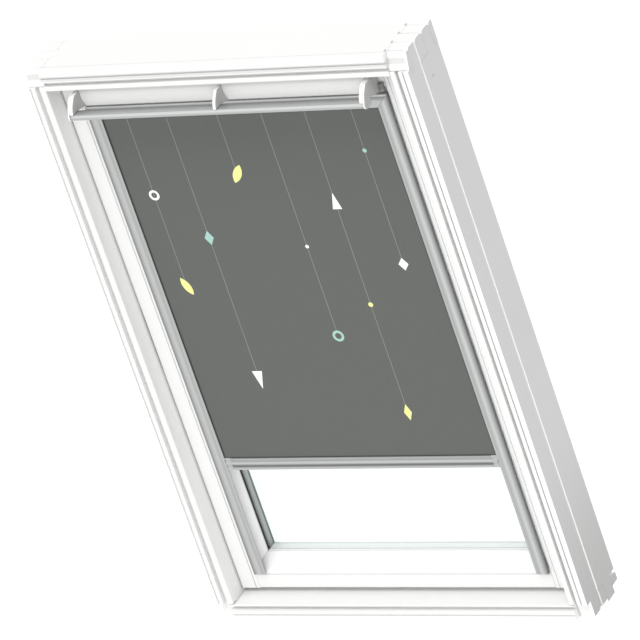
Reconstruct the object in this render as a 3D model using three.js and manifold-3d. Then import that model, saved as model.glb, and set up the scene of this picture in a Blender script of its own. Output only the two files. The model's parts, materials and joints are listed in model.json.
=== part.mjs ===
// Centre-pivot roof window with a fitted blackout roller blind, mostly drawn down.
// Millimetres, +Z up. The origin is the middle of the sill's underside: X runs along the
// width, Y through the depth from the room (-Y) to the weather (+Y).
// Inside this file every depth is measured from the room face of the frame.
import * as THREE from "three";
import { mergeVertices } from "three/addons/utils/BufferGeometryUtils.js";
import Module from "manifold-3d";

const wasm = await Module();
wasm.setup();

// Driving sizes of the window
const frameWidth = 780;
const frameHeight = 1178;
const frameDepth = 120;
const memberFace = 39; // a side member, across the face
const headMouldingDrop = 4.5; // the head is that much wider, and its moulding that much lower
const sillFace = 31;
const sashGapSide = 2.5;
const sashGapTop = 3.5;
const sashGapBottom = 10;
const sashSetback = 44; // room face of the frame to room face of the sash
const sashDepth = 60;
const seatGap = 0.3; // between pieces that touch
const cutOverrun = 5;

// Frame moulding, measured inwards from the outer edge
const stripWidth = 9.5;
const quirkWidth = 3.2;
const quirkDepth = 2.2;
const bandRecess = 0.8;
const liningGrooveAt = 20;
const liningGrooveWidth = 8.5;
const liningGrooveDepth = 10;
const nosingRecess = 3;
const nosingRadius = 2.5;
const arrisRadius = 1.5;
const jointLineWidth = 0.8;
const jointLineDepth = 0.6;
const collarGrooveAt = 44.5;
const collarGrooveWidth = 5;
const collarGrooveDepth = 3.5;

// Comb joints at the corners of the frame
const cornerNotchDepth = 14.5;
const headNotchHeight = 34.5;
const cornerFaceFoot = 6.4; // the head's end faces slope back from here to the notch's depth
const cornerFaceDrop = 4;
const footNotchHeight = 33;
const footNotchInset = 7.5; // how far the sill's moulding runs past the opening
const combStart = 20;
const footCombShift = 7.9;
const combPitch = 28.8;
const combFingers = 2;
const combRound = 7;
const combChamfer = 4.5;
const footFingerProud = 6.5;
const footRebateDepth = 21.2;
const footRebateRise = 8;
const weatherFallStart = 92;
const weatherFall = 8;

// Sash section, measured inwards from its outer edge
const sashFaceWidth = 38.5;
const sashSightWidth = 63.5;
const sashBevelDepth = 26;
const sashArris = 2.5;
const sashLip = 3.6;
const glassSeatAt = 47.5;
const sashQuirkAt = 29.8;
const sashQuirkWidth = 1.3;
const sashQuirkDepth = 1.5;

// Glass unit
const paneThickness = 4;
const cavity = 16;
const paneEdgeGap = 2;
const gasketThickness = 1.4;
const gasketBead = 2.2;
const gasketBeadRise = 2.4;
const spacerWidth = 8;

// Outer glazing cover
const coverThickness = 2;
const coverEdgeInset = 2;
const coverInnerAt = 59.5;
const coverLegWidth = 3;

// Pivot fittings
const pivotPlateHeight = 118;
const pivotPlateWidth = 30;
const framePlateThickness = 4;
const framePlateSunk = 2.4;
const sashPlateThickness = 2.6;
const plateRound = 8;
const pivotPinRadius = 7;
const pivotPinReach = 12;
const pivotClearance = 0.3;
const pinRelief = 2; // room round the pin's end inside the sash
const pivotDepth = 75; // from the frame's room face

// How finely curves are drawn
const roundSteps = 28;
const cornerSteps = 4;
const curveSteps = 10;
const hingeSteps = 6;

// Weather seals
const sealWidth = 6;
const sealStandOff = 1.5;
const headSealBase = 0.8;
const sideSealStandOff = 0.8;
const sealLipWidth = 2.5;
const headSealAt = 92;
const sillSealAt = 64;
const sealEndInset = 5;

// Lock behind the flap
const lockHalfWidth = 38;
const lockDepthAt = 62;
const lockDepth = 24;
const lockHeight = 14;
const lockFaceRise = 1.2;
const lockFaceOverhang = 8;
const strikeThickness = 2.5;
const strikeSlotHalfWidth = 16;
const strikeSlotWidth = 9;

// Ventilation flap with its control bar
const flapEndInset = 46.5; // end of the flap to the edge of the sash
const armWidth = 7;
const middleArmWidth = 6;
const armTopDrop = 4; // top of the flap to the tops of the arms
const armTopReach = 3; // how far the arms' tops stand in front of the frame
const armNoseLean = 3;
const armNoseInset = 1;
const flapFront = 15; // depth of the fullest part of the flap's face
const flapTopBelowHead = 3.5;
const flapWall = 2.4;
const flapBulgeDrop = 5.5;
const flapFootRise = 4; // underside of the flap above the underside of its hinge
const hingeDrop = 41; // top of the sash to the flap's hinge line
const hingeRound = 3.8;
const hingeBackGap = 0.4;
const hingePinRadius = 2;
const hingePinClearance = 0.3;
const hingeLugWidth = 8;
const hingeLugHeight = 16;
const barFront = -25;
const barBack = -5;
const barBelowHinge = 1;
const barHeight = 10.5;
const barFrontRound = 3;
const barBackRound = 1;
const barWall = 2.4;
const endPlateThickness = 3;
const endPlateLip = 1.5; // how far an end plate stands out round the bar
const endPlateRound = 6;
const endPlugLength = 9;
const filterEndInset = 17; // to the inner face of an end arm
const filterThickness = 8;
const filterHeight = 24;
const filterFrameWidth = 3;
const filterRecess = 2;
const filterPleats = 30;

// Blackout blind
const drawnShare = 0.7389; // how far the cloth is drawn down
const blindSideInset = 40.5; // outer edge of a side rail to the edge of the sash
const blindTopInset = 51;
const blindBottomInset = 34;
const blindRailWidth = 25;
const blindRailDepth = 6.2;
const blindCasingHeight = 25.5;
const casingDepth = 26.5;
const casingWall = 1.5;
const casingFrontWall = 2.3;
const casingBackChamfer = 9;
const cornerWebThickness = 2.4;
const cornerEarDrop = 7;
const railWall = 1.2;
const railLip = 3;
const ribRelief = 0.9;
const rollerRadius = 7;
const rollerWall = 1;
const rollRadius = 10;
const rollerRise = 10.5; // above the casing's lower edge
const rollerEndGap = 0.8;
const rollerPlugLength = 16;
const rollerPinRadius = 3;
const rollerPinLength = 12;
const fabricThickness = 0.4;
const fabricInRail = 4.2;
const bottomBarHeight = 25;
const sliderCapWidth = 12;
const sliderTongue = 18;
const sliderTongueHeight = 20;
const railEndHeight = 5;

// Moulded faces of the blind: share of the width or height, share of the rib relief
const railFaceShares = [
  [0, 1], [0.125, 0.33], [0.325, 0], [0.55, 0.33], [0.625, 1], [0.69, 0.33], [1, 0],
];
const casingFaceShares = [
  [0, 0.5], [0.07, 0], [0.56, 0], [0.66, 1], [0.83, 1], [0.86, 0], [1, 0],
];
const bottomBarFaceShares = [
  [0, 2], [0.04, 1], [0.12, 1], [0.18, 2.4], [0.3, 2.4], [0.4, 0], [0.48, -0.5], [0.72, 2.2],
  [0.78, 1], [1, 1],
];

// What follows from the driving sizes
const halfWidth = frameWidth / 2;
const openingHalf = halfWidth - memberFace;
const sashHalf = openingHalf - sashGapSide;
const sashLow = sillFace + sashGapBottom;
const headLow = frameHeight - memberFace - headMouldingDrop;
const sashHigh = headLow - sashGapTop;
const sashBack = sashSetback + sashDepth;
const sightDepth = sashSetback + sashBevelDepth;
const seatDepth = sightDepth + sashLip;
const innerPaneFront = seatDepth + gasketThickness;
const innerPaneBack = innerPaneFront + paneThickness;
const outerPaneFront = innerPaneBack + cavity;
const outerPaneBack = outerPaneFront + paneThickness;
const glassInset = glassSeatAt + paneEdgeGap;
const pivotHeight = (sashLow + sashHigh) / 2;
const sideSealAt = sashSetback + sashArris;
const flapHalfWidth = sashHalf - flapEndInset;
const flapTop = headLow - flapTopBelowHead;
const armTop = flapTop - armTopDrop;
const endArmOuter = flapHalfWidth - endPlateThickness - seatGap;
const endArmInner = endArmOuter - armWidth;
const hingeUp = sashHigh - hingeDrop;
const hingeDepth = sashSetback - hingeBackGap - hingeRound;
const barLow = hingeUp - barBelowHinge;
const barHigh = barLow + barHeight;
const blindHalfWidth = sashHalf - blindSideInset;
const blindTop = sashHigh - blindTopInset;
const blindBottom = sashLow + blindBottomInset;
const railInner = blindHalfWidth - blindRailWidth;
const railBack = sashSetback - seatGap;
const blindFront = railBack - blindRailDepth;
const slotFront = blindFront + ribRelief + railWall;
const casingBottom = blindTop - blindCasingHeight;
const casingBack = blindFront + casingDepth;
const mitreSlope = blindCasingHeight / blindRailWidth;
const fabricHalf = railInner + fabricInRail;
const fabricDepth = slotFront + 3 * seatGap;
const rollerDepth = fabricDepth + fabricThickness + seatGap + rollRadius;
const rollerHeight = casingBottom + rollerRise;
const webInner = fabricHalf + rollerEndGap + seatGap;
const barTop = casingBottom - drawnShare * (casingBottom - blindBottom);

const finishes = {
  paint: { color: 0xf4f4f1, roughness: 0.45, metalness: 0 },
  paintShade: { color: 0xededea, roughness: 0.5, metalness: 0 },
  aluminium: { color: 0xbfc2c0, roughness: 0.32, metalness: 0.9 },
  steel: { color: 0x9c9fa1, roughness: 0.4, metalness: 0.9 },
  whitePlastic: { color: 0xf0f0ee, roughness: 0.4, metalness: 0 },
  greyPlastic: { color: 0xb5b8b6, roughness: 0.5, metalness: 0 },
  rubber: { color: 0x1d1f20, roughness: 0.8, metalness: 0 },
  glass: { color: 0xe8f1ee, roughness: 0.03, metalness: 0 },
  fabric: { color: 0x6e716c, roughness: 0.9, metalness: 0 },
  filter: { color: 0x8b8f90, roughness: 1, metalness: 0 },
};

const roofWindow = new THREE.Group();
roofWindow.position.y = -frameDepth / 2;

// A closed three.js geometry as a solid that can be joined and cut.
function solid(geometry) {
  const bare = geometry.clone();
  bare.deleteAttribute("normal");
  bare.deleteAttribute("uv");
  const merged = mergeVertices(bare);
  return new wasm.Manifold(
    new wasm.Mesh({
      numProp: 3,
      vertProperties: new Float32Array(merged.attributes.position.array),
      triVerts: new Uint32Array(merged.index.array),
    }),
  );
}

function geometryOf(shape) {
  const mesh = shape.getMesh();
  const geometry = new THREE.BufferGeometry();
  geometry.setAttribute("position", new THREE.BufferAttribute(mesh.vertProperties, 3));
  geometry.setIndex(new THREE.BufferAttribute(mesh.triVerts, 1));
  return geometry;
}

function mirroredGeometry(geometry) {
  const flipped = geometry.clone().scale(-1, 1, 1);
  const index = flipped.index.array;
  for (let i = 0; i < index.length; i += 3) {
    [index[i + 1], index[i + 2]] = [index[i + 2], index[i + 1]];
  }
  return flipped;
}

function addMesh(name, geometry, finish) {
  geometry.computeVertexNormals();
  const mesh = new THREE.Mesh(geometry, new THREE.MeshStandardMaterial(finishes[finish]));
  mesh.name = name;
  roofWindow.add(mesh);
}

const addPart = (name, shape, finish) => addMesh(name, geometryOf(shape), finish);

// The right-hand piece as drawn and its mirror image on the left.
function addPair(name, shape, finish) {
  const right = geometryOf(shape);
  addMesh(`${name}_right`, right, finish);
  addMesh(`${name}_left`, mirroredGeometry(right), finish);
}

// Rounds each corner that carries a third number, its radius.
function rounded(points, steps = cornerSteps) {
  const out = [];
  points.forEach(([x, y, radius], i) => {
    if (!radius) {
      out.push(new THREE.Vector2(x, y));
      return;
    }
    const corner = new THREE.Vector2(x, y);
    const before = points[(i + points.length - 1) % points.length];
    const after = points[(i + 1) % points.length];
    const inward = new THREE.Vector2(before[0], before[1]).sub(corner).normalize();
    const onward = new THREE.Vector2(after[0], after[1]).sub(corner).normalize();
    const half = Math.acos(THREE.MathUtils.clamp(inward.dot(onward), -1, 1)) / 2;
    const reach = radius / Math.tan(half);
    const centre = inward.clone().add(onward).normalize();
    centre.multiplyScalar(radius / Math.sin(half)).add(corner);
    const first = corner.clone().addScaledVector(inward, reach).sub(centre);
    const last = corner.clone().addScaledVector(onward, reach).sub(centre);
    const turn = Math.atan2(first.cross(last), first.dot(last));
    for (let k = 0; k <= steps; k += 1) {
      const angle = (turn * k) / steps;
      const arm = first.clone().rotateAround(new THREE.Vector2(), angle);
      out.push(arm.add(centre));
    }
  });
  return out;
}

function extruded(points, from, to, holes = []) {
  const shape = new THREE.Shape(points);
  holes.forEach((hole) => shape.holes.push(new THREE.Path(hole)));
  const geometry = new THREE.ExtrudeGeometry(shape, { depth: to - from, bevelEnabled: false });
  return geometry.translate(0, 0, from);
}

const axisX = new THREE.Vector3(1, 0, 0);
const axisY = new THREE.Vector3(0, 1, 0);
const axisZ = new THREE.Vector3(0, 0, 1);
const alongX = new THREE.Matrix4().makeBasis(axisY, axisZ, axisX);
const alongY = new THREE.Matrix4().makeBasis(axisZ, axisX, axisY);

// Outlines are (depth, height) along X, (x, height) along Y and (x, depth) along Z.
function prismX(points, from, to, holes = []) {
  const paths = holes.map((hole) => rounded(hole));
  return solid(extruded(rounded(points), from, to, paths).applyMatrix4(alongX));
}

function prismY(points, from, to) {
  const turned = points.map(([x, z, radius]) => [z, x, radius]);
  return solid(extruded(rounded(turned), from, to).applyMatrix4(alongY));
}

const prismZ = (points, from, to) => solid(extruded(rounded(points), from, to));

function block(x0, x1, y0, y1, z0, z1) {
  const geometry = new THREE.BoxGeometry(x1 - x0, y1 - y0, z1 - z0);
  return solid(geometry.translate((x0 + x1) / 2, (y0 + y1) / 2, (z0 + z1) / 2));
}

function rodX(radius, x0, x1, depth, height, sides = roundSteps) {
  const geometry = new THREE.CylinderGeometry(radius, radius, x1 - x0, sides);
  geometry.rotateZ(-Math.PI / 2).translate((x0 + x1) / 2, depth, height);
  return solid(geometry);
}

const joined = (shapes) => shapes.reduce((sum, shape) => sum.add(shape));

// Frame

// Section of a frame member, as (distance in from the outer edge, depth). The moulding
// stands further in by the drop.
function frameSection(face, drop, collarGroove, jointLine) {
  const stripEnd = stripWidth + drop;
  const quirkEnd = stripEnd + quirkWidth;
  const grooveStart = liningGrooveAt + drop;
  const grooveEnd = grooveStart + liningGrooveWidth;
  const points = [
    [0, 0, arrisRadius],
    [stripEnd, 0],
    [stripEnd, quirkDepth],
    [quirkEnd, quirkDepth],
    [quirkEnd, bandRecess],
    [grooveStart, bandRecess],
    [grooveStart, bandRecess + liningGrooveDepth],
    [grooveEnd, bandRecess + liningGrooveDepth],
    [grooveEnd, nosingRecess],
    [face, nosingRecess, nosingRadius],
    [face, frameDepth],
    [0, frameDepth, arrisRadius],
  ];
  if (collarGroove) {
    points.push(
      [0, collarGrooveAt + collarGrooveWidth],
      [collarGrooveDepth, collarGrooveAt + collarGrooveWidth],
      [collarGrooveDepth, collarGrooveAt],
      [0, collarGrooveAt],
    );
  }
  if (jointLine) {
    points.push(
      [0, cornerNotchDepth + jointLineWidth / 2],
      [jointLineDepth, cornerNotchDepth],
      [0, cornerNotchDepth - jointLineWidth / 2],
    );
  }
  return points;
}

// Where a side member's comb fingers lie through the depth, at its head and at its foot.
function fingerSpans(start) {
  return Array.from({ length: combFingers }, (_, i) => [
    Math.max(start + 2 * i * combPitch, cornerNotchDepth),
    start + (2 * i + 1) * combPitch,
  ]);
}

const headFingers = fingerSpans(combStart);
const footFingers = fingerSpans(combStart - footCombShift);

// The fingers at one end, grown by a gap where they cut their pocket.
function fingerShapes(spans, low, high, gap) {
  return joined(
    spans.map(([from, to]) => {
      const outline = [
        [halfWidth + gap, from - gap],
        [halfWidth + gap, to + gap],
        [openingHalf - gap, to + gap, combRound],
        [openingHalf - gap, from - gap],
      ];
      return prismZ(outline, low - gap, high + gap);
    }),
  );
}

function bothSides(shape) {
  const left = solid(mirroredGeometry(geometryOf(shape)));
  return shape.add(left);
}

// V grooves across the comb joints, one at each given edge of a finger, cut down from a face
// at the height or, with the way -1, up from it.
function combGrooves(edges, height, way) {
  return joined(
    edges.map((edge) => {
      const outline = [
        [edge - combChamfer, height],
        [edge, height - way * combChamfer],
        [edge + combChamfer, height],
        [edge + combChamfer, height + way * combChamfer],
        [edge - combChamfer, height + way * combChamfer],
      ];
      return prismX(
        way > 0 ? outline : outline.reverse(),
        openingHalf - cutOverrun,
        halfWidth + cutOverrun,
      );
    }),
  );
}

function buildFrame() {
  const above = frameHeight + cutOverrun;
  const outside = halfWidth + cutOverrun;
  const notchFrom = openingHalf + seatGap;
  const topGrooves = combGrooves(headFingers.flat(), frameHeight, 1);
  const footGrooves = combGrooves([footFingers[0][1]], 0, -1);

  const headPoints = frameSection(memberFace + headMouldingDrop, headMouldingDrop, false, true);
  const head = prismX(
    headPoints.map(([u, d, r]) => [d, frameHeight - u, r]),
    -halfWidth,
    halfWidth,
  );
  const headNotch = block(
    notchFrom, outside, -cutOverrun, cornerNotchDepth, headLow - cutOverrun, above,
  );
  const headPocket = fingerShapes(headFingers, headLow - cutOverrun, above, seatGap);
  const mouldingTop = frameHeight - headNotchHeight;
  const cornerFace = prismX(
    [
      [cornerFaceFoot, mouldingTop + seatGap],
      [cornerNotchDepth + arrisRadius, mouldingTop + seatGap],
      [cornerNotchDepth + arrisRadius, frameHeight - cornerFaceDrop],
      [cornerNotchDepth, frameHeight - cornerFaceDrop],
    ],
    notchFrom,
    halfWidth,
  );
  const headEnds = bothSides(headNotch.add(headPocket));
  const headTop = head.subtract(headEnds).add(bothSides(cornerFace));
  addPart("frame_head", cutForStrike(headTop.subtract(bothSides(topGrooves))), "paint");

  // The sill's section leaves out the two back corners: its back is cut to a fall.
  const sillPoints = frameSection(sillFace, 0, false, false).slice(0, -2);
  const weather = [
    [sillFace, weatherFallStart],
    [sillFace - weatherFall, frameDepth],
    [footRebateRise, frameDepth],
    [footRebateRise, frameDepth - footRebateDepth],
    [0, frameDepth - footRebateDepth],
  ];
  const sill = prismX(
    sillPoints.concat(weather).map(([u, d, r]) => [d, u, r]),
    -halfWidth,
    halfWidth,
  );
  const sillNotch = block(
    notchFrom + footNotchInset, outside, -cutOverrun, cornerNotchDepth, -cutOverrun, sillFace + cutOverrun,
  );
  const sillPocket = fingerShapes(footFingers, -cutOverrun, sillFace + cutOverrun, seatGap);
  const sillEnds = bothSides(joined([sillNotch, sillPocket, footGrooves]));
  addPart("frame_sill", sill.subtract(sillEnds), "paint");

  const sidePoints = frameSection(memberFace, 0, true, false);
  const sideOutline = sidePoints.map(([u, d, r]) => [halfWidth - u, d, r]);
  const stile = prismZ(sideOutline, sillFace + seatGap, headLow - seatGap);
  const topEnd = fingerShapes(headFingers, headLow - cutOverrun, frameHeight, 0);
  const footEnd = fingerShapes(footFingers, 0, sillFace + cutOverrun, 0);
  const foot = footFingers[combFingers - 1];
  const footTip = block(openingHalf + combRound, halfWidth, foot[0], foot[1], -footFingerProud, cutOverrun);

  // The side's moulding runs on past the end of the head's and stops under its corner face.
  const mouldingEnd = prismZ(sideOutline, headLow - cutOverrun, mouldingTop).intersect(
    block(
      notchFrom + seatGap, outside, -cutOverrun, cornerNotchDepth - seatGap, headLow - cutOverrun, above,
    ),
  );
  const footStop = block(
    openingHalf - cutOverrun, outside, -cutOverrun, cornerNotchDepth, -cutOverrun, footNotchHeight,
  );
  const side = joined([stile, topEnd, footEnd, footTip, mouldingEnd])
    .subtract(joined([footStop, topGrooves, footGrooves]))
    .subtract(pivotRecess(openingHalf, framePlateSunk + seatGap));
  addPair("frame_side", side, "paint");
}

// Rounded outline of a pivot plate, as (depth, height), grown by a gap.
function plateOutline(gap) {
  const depthHalf = pivotPlateWidth / 2 + gap;
  const heightHalf = pivotPlateHeight / 2 + gap;
  return [
    [pivotDepth - depthHalf, pivotHeight - heightHalf, plateRound],
    [pivotDepth + depthHalf, pivotHeight - heightHalf, plateRound],
    [pivotDepth + depthHalf, pivotHeight + heightHalf, plateRound],
    [pivotDepth - depthHalf, pivotHeight + heightHalf, plateRound],
  ];
}

// The bed for a pivot plate, cut outwards from a face at x.
const pivotRecess = (x, sunk) => prismX(plateOutline(seatGap), x - cutOverrun, x + sunk);

// Sash

// Section of a sash member, as (distance in from the outer edge, depth).
function sashSection() {
  const quirkEnd = sashQuirkAt + sashQuirkWidth;
  return [
    [0, sashSetback, sashArris],
    [sashQuirkAt, sashSetback],
    [sashQuirkAt, sashSetback + sashQuirkDepth],
    [quirkEnd, sashSetback + sashQuirkDepth],
    [quirkEnd, sashSetback],
    [sashFaceWidth, sashSetback, arrisRadius],
    [sashSightWidth, sightDepth],
    [sashSightWidth, seatDepth],
    [glassSeatAt, seatDepth],
    [glassSeatAt, sashBack],
    [0, sashBack, arrisRadius],
  ];
}

// Outline, seen from the room, of the band that an upright of the sash takes up:
// square at its ends and mitred where the bevels meet.
function uprightOutline(outer, square, inner) {
  return [
    [sashHalf - outer, sashLow + outer],
    [sashHalf - outer, sashHigh - outer],
    [sashHalf - square, sashHigh - outer],
    [sashHalf - square, sashHigh - square],
    [sashHalf - inner, sashHigh - inner],
    [sashHalf - inner, sashLow + inner],
    [sashHalf - square, sashLow + square],
    [sashHalf - square, sashLow + outer],
  ];
}

// The same for the lower crosspiece, clear of the uprights by the seat gap.
function crossOutline(outer, square, inner) {
  const clear = seatGap * Math.SQRT2;
  const xOuter = sashHalf - square - clear;
  const xInner = sashHalf - inner - clear;
  return [
    [-xOuter, sashLow + outer],
    [xOuter, sashLow + outer],
    [xOuter, sashLow + square],
    [xInner, sashLow + inner],
    [-xInner, sashLow + inner],
    [-xOuter, sashLow + square],
  ];
}

const turnedOver = (outline) => outline.map(([x, z]) => [x, sashLow + sashHigh - z]);

// Four members of one section around the sash: uprights, a lower and an upper crosspiece.
function ringOf(section, outer, square, inner, from, to) {
  const upright = prismZ(
    section.map(([v, d, r]) => [sashHalf - v, d, r]),
    sashLow,
    sashHigh,
  ).intersect(prismY(uprightOutline(outer, square, inner), from, to));
  const lowBar = section.map(([v, d, r]) => [d, sashLow + v, r]);
  const highBar = section.map(([v, d, r]) => [d, sashHigh - v, r]);
  const low = prismX(lowBar, -sashHalf, sashHalf);
  const high = prismX(highBar, -sashHalf, sashHalf);
  const band = crossOutline(outer, square, inner);
  return {
    upright,
    low: low.intersect(prismY(band, from, to)),
    high: high.intersect(prismY(turnedOver(band), from, to)),
  };
}

function buildSash() {
  const from = sashSetback - cutOverrun;
  const to = sashBack + cutOverrun;
  const ring = ringOf(sashSection(), 0, sashFaceWidth, sashSightWidth, from, to);
  const plateBed = prismX(plateOutline(seatGap), sashHalf - sashPlateThickness - seatGap, sashHalf + cutOverrun);
  const pinHole = rodX(
    pivotPinRadius + pinRelief,
    sashHalf - pivotPinReach,
    sashHalf + cutOverrun,
    pivotDepth,
    pivotHeight,
  );
  addPair("sash_stile", ring.upright.subtract(plateBed).subtract(pinHole), "paint");
  addPart("sash_bottom_rail", ring.low, "paint");
  addPart("sash_top_rail", ring.high.subtract(lockBed()), "paint");
}

// Glazing

function buildGlazing() {
  const paneHalf = sashHalf - glassInset;
  const paneLow = sashLow + glassInset;
  const paneHigh = sashHigh - glassInset;
  addPart("pane_inner", block(-paneHalf, paneHalf, innerPaneFront + seatGap, innerPaneBack, paneLow, paneHigh), "glass");
  addPart("pane_outer", block(-paneHalf, paneHalf, outerPaneFront, outerPaneBack, paneLow, paneHigh), "glass");

  const beadAt = sashSightWidth + gasketBead;
  const gasket = ringOf(
    [
      [glassInset, seatDepth + seatGap],
      [sashSightWidth + seatGap, seatDepth + seatGap],
      [sashSightWidth + seatGap, innerPaneFront - gasketBeadRise],
      [beadAt, innerPaneFront - gasketBeadRise + gasketThickness],
      [beadAt, innerPaneFront],
      [glassInset, innerPaneFront],
    ],
    glassInset, glassInset, beadAt, sightDepth - cutOverrun, innerPaneBack,
  );
  addPair("glazing_gasket", gasket.upright, "rubber");
  addPart("glazing_gasket_bottom", gasket.low, "rubber");
  addPart("glazing_gasket_top", gasket.high, "rubber");

  const spacerAt = sashSightWidth - spacerWidth;
  const spacer = ringOf(
    [
      [spacerAt, innerPaneBack + seatGap],
      [sashSightWidth, innerPaneBack + seatGap],
      [sashSightWidth, outerPaneFront - seatGap],
      [spacerAt, outerPaneFront - seatGap],
    ],
    spacerAt, spacerAt, sashSightWidth, innerPaneBack, outerPaneFront,
  );
  addPair("glass_spacer", spacer.upright, "aluminium");
  addPart("glass_spacer_bottom", spacer.low, "aluminium");
  addPart("glass_spacer_top", spacer.high, "aluminium");

  const coverLow = sashBack + seatGap;
  const legInner = coverInnerAt - coverLegWidth;
  const cover = ringOf(
    [
      [coverEdgeInset, coverLow],
      [coverEdgeInset, coverLow + coverThickness, coverThickness / 2],
      [coverInnerAt, coverLow + coverThickness, coverThickness / 2],
      [coverInnerAt, outerPaneBack + seatGap],
      [legInner, outerPaneBack + seatGap],
      [legInner, coverLow],
    ],
    coverEdgeInset, coverEdgeInset, coverInnerAt, outerPaneBack, coverLow + coverThickness + cutOverrun,
  );
  addPair("outer_cover", cover.upright, "aluminium");
  addPart("outer_cover_bottom", cover.low, "aluminium");
  addPart("outer_cover_top", cover.high, "aluminium");
}

// Pivots, on the two sides at mid height

function buildPivots() {
  const plateOut = openingHalf + framePlateSunk;
  const plateIn = plateOut - framePlateThickness;
  const pinTip = sashHalf - pivotPinReach + pinRelief;
  const plate = prismX(plateOutline(0), plateIn, plateOut);
  const pin = rodX(pivotPinRadius, pinTip, plateOut, pivotDepth, pivotHeight);
  addPair("pivot_frame_plate", plate.add(pin), "steel");

  const bore = rodX(
    pivotPinRadius + pivotClearance,
    sashHalf - pivotPlateWidth,
    sashHalf + cutOverrun,
    pivotDepth,
    pivotHeight,
  );
  const sashPlate = prismX(plateOutline(0), sashHalf - sashPlateThickness, sashHalf);
  addPair("pivot_sash_plate", sashPlate.subtract(bore), "steel");
}

// Rubber seals in the gap round the sash

function buildSeals() {
  const sideProfile = [
    [sashHalf + seatGap, sideSealAt],
    [sashHalf + sideSealStandOff, sideSealAt],
    [openingHalf - seatGap, sideSealAt + sealLipWidth],
    [sashHalf + sideSealStandOff, sideSealAt + sealWidth],
    [sashHalf + seatGap, sideSealAt + sealWidth],
  ];
  const pivotReach = pivotPlateHeight / 2 + sealEndInset;
  const lower = prismZ(sideProfile, sashLow + sealEndInset, pivotHeight - pivotReach);
  const upper = prismZ(sideProfile, pivotHeight + pivotReach, sashHigh - sealEndInset);
  addPair("side_seal_lower", lower, "rubber");
  addPair("side_seal_upper", upper, "rubber");

  const sealTop = headLow - seatGap;
  const headSeal = prismX(
    [
      [headSealAt, sealTop],
      [headSealAt + sealWidth, sealTop],
      [headSealAt + sealWidth, sealTop - headSealBase],
      [headSealAt + sealLipWidth, sashHigh + headSealBase],
      [headSealAt, sealTop - headSealBase],
    ],
    -openingHalf + sealEndInset,
    openingHalf - sealEndInset,
  );
  addPart("head_seal", headSeal, "rubber");

  const sillTop = sillFace + seatGap;
  const sillSeal = prismX(
    [
      [sillSealAt, sillTop],
      [sillSealAt + sealWidth, sillTop],
      [sillSealAt + sealWidth, sillTop + sealStandOff],
      [sillSealAt + sealLipWidth, sashLow - sealStandOff],
      [sillSealAt, sillTop + sealStandOff],
    ],
    -openingHalf + sealEndInset,
    openingHalf - sealEndInset,
  );
  addPart("sill_seal", sillSeal, "rubber");
}

// Lock in the top rail and its strike in the head

function lockBed() {
  return block(
    -lockHalfWidth - seatGap,
    lockHalfWidth + seatGap,
    lockDepthAt - seatGap,
    lockDepthAt + lockDepth + seatGap,
    sashHigh - lockHeight - seatGap,
    sashHigh + cutOverrun,
  );
}

function cutForStrike(head) {
  return head.subtract(
    block(
      -lockHalfWidth - seatGap,
      lockHalfWidth + seatGap,
      lockDepthAt - seatGap,
      lockDepthAt + lockDepth + seatGap,
      headLow - cutOverrun,
      headLow + strikeThickness + seatGap,
    ),
  );
}

function buildLock() {
  const lockCase = prismX(
    [
      [lockDepthAt, sashHigh - lockHeight],
      [lockDepthAt + lockDepth, sashHigh - lockHeight],
      [lockDepthAt + lockDepth, sashHigh],
      [lockDepthAt + lockFaceOverhang, sashHigh],
      [lockDepthAt + lockFaceOverhang, sashHigh + lockFaceRise],
      [lockDepthAt, sashHigh + lockFaceRise, lockFaceRise / 2],
    ],
    -lockHalfWidth,
    lockHalfWidth,
  );
  addPart("lock_case", lockCase, "steel");

  const strikeTop = headLow + strikeThickness;
  const plate = block(
    -lockHalfWidth, lockHalfWidth, lockDepthAt, lockDepthAt + lockDepth, headLow, strikeTop,
  );
  const slotAt = lockDepthAt + lockDepth / 2;
  const slot = block(
    -strikeSlotHalfWidth,
    strikeSlotHalfWidth,
    slotAt - strikeSlotWidth / 2,
    slotAt + strikeSlotWidth / 2,
    headLow - cutOverrun,
    strikeTop + cutOverrun,
  );
  addPart("strike_plate", plate.subtract(slot), "steel");
}

// Ventilation flap and control bar

// Section of the control bar, as (depth, height), grown by a gap.
function barSection(gap) {
  const front = barFrontRound + gap;
  const back = Math.max(barBackRound + gap, 0);
  return [
    [barFront - gap, barLow - gap, front],
    [barBack + gap, barLow - gap, back],
    [barBack + gap, barHigh + gap, back],
    [barFront - gap, barHigh + gap, front],
  ];
}

// Face of the flap from its top to its foot, as a curve of (depth, height).
function flapFace() {
  const foot = hingeUp - hingeRound + flapFootRise;
  return new THREE.SplineCurve([
    new THREE.Vector2(flapFront + flapWall / 2, flapTop),
    new THREE.Vector2(flapFront, (flapTop + foot) / 2),
    new THREE.Vector2(flapFront + flapBulgeDrop, hingeUp + flapBulgeDrop),
    new THREE.Vector2(flapFront + 2 * flapBulgeDrop, foot),
  ]).getPoints(curveSteps);
}

// Front edge of an arm, from its top down to the nose that stands on the bar.
function armFront() {
  return new THREE.QuadraticBezierCurve(
    new THREE.Vector2(-armTopReach, armTop),
    new THREE.Vector2(barFront + armNoseLean, (armTop + barHigh) / 2),
    new THREE.Vector2(barFront + armNoseInset, barHigh + seatGap),
  ).getPoints(curveSteps);
}

// Outline of an arm that stands against the flap's face.
function armOutline() {
  const face = flapFace().slice(1, -2).reverse();
  const points = [...armFront(), new THREE.Vector2(barBack, barHigh + seatGap)];
  points.push(...face.map((p) => new THREE.Vector2(p.x - seatGap, p.y)));
  points.push(new THREE.Vector2(face[face.length - 1].x - seatGap, armTop));
  return points.map((p) => [p.x, p.y]);
}

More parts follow.
